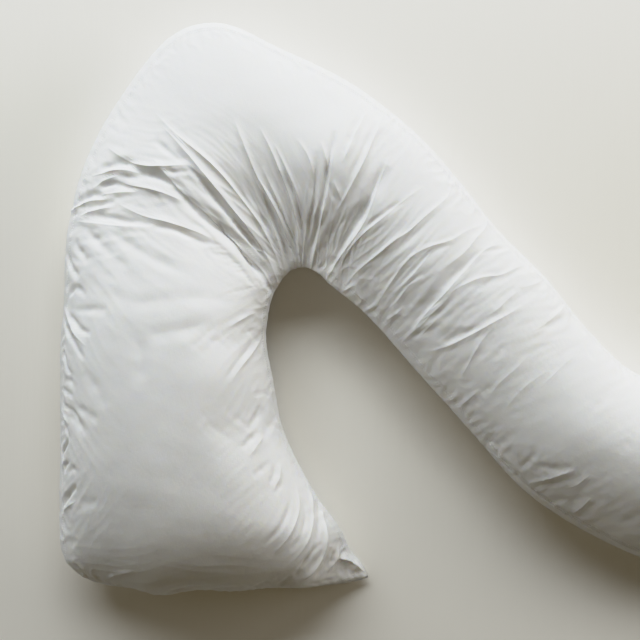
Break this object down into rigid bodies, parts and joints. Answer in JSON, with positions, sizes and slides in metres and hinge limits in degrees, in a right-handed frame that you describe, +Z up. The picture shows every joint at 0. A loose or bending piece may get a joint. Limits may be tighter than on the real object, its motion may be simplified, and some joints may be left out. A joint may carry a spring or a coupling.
{
  "type": "body pillow",
  "caption": "Long filled J-shaped body pillow of white cotton, a wide leg and a narrow leg joined by a round bend, lying on its back.",
  "frame": {"origin": "bottom centre of the pillow's box, on the surface it lies on", "axes": "+X towards the end of the narrow leg, +Y towards the bend, away from the open side between the legs, +Z up out of the upper panel"},
  "size_m": [1.2358, 0.9412, 0.1861],
  "materials": {
    "white_cotton": "matte plain-woven cotton"
  },
  "bodies": {
    "root": {"pillow": "white_cotton"}
  },
  "joints": []
}
